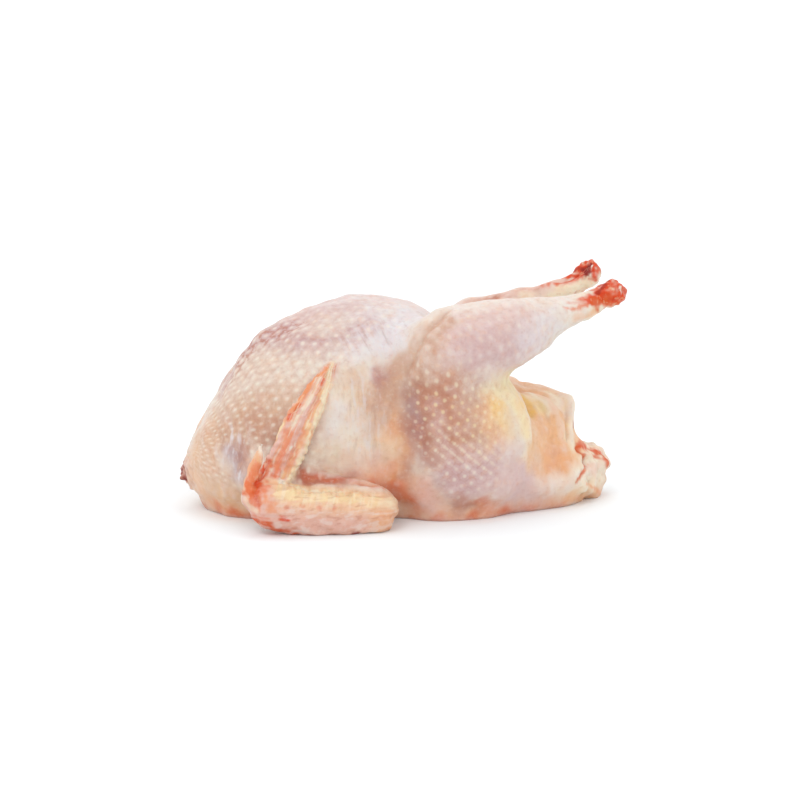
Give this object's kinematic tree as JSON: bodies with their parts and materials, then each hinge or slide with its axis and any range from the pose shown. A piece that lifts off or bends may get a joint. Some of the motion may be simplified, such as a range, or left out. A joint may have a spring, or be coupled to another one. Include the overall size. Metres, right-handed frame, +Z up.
{
  "type": "whole raw quail",
  "caption": "Whole raw quail, plucked and drawn, lying on its back with legs free and wings folded beside the breast.",
  "frame": {"origin": "middle of the bounding box, at its base, on the table the bird rests on", "axes": "+X towards the tail and the ankles, +Z up out of the breast, -Y the side the picture shows"},
  "size_m": [0.112, 0.0786, 0.0601],
  "materials": {
    "skin": "moist raw poultry skin, soft sheen"
  },
  "bodies": {
    "root": {"quail": "skin"}
  },
  "joints": []
}
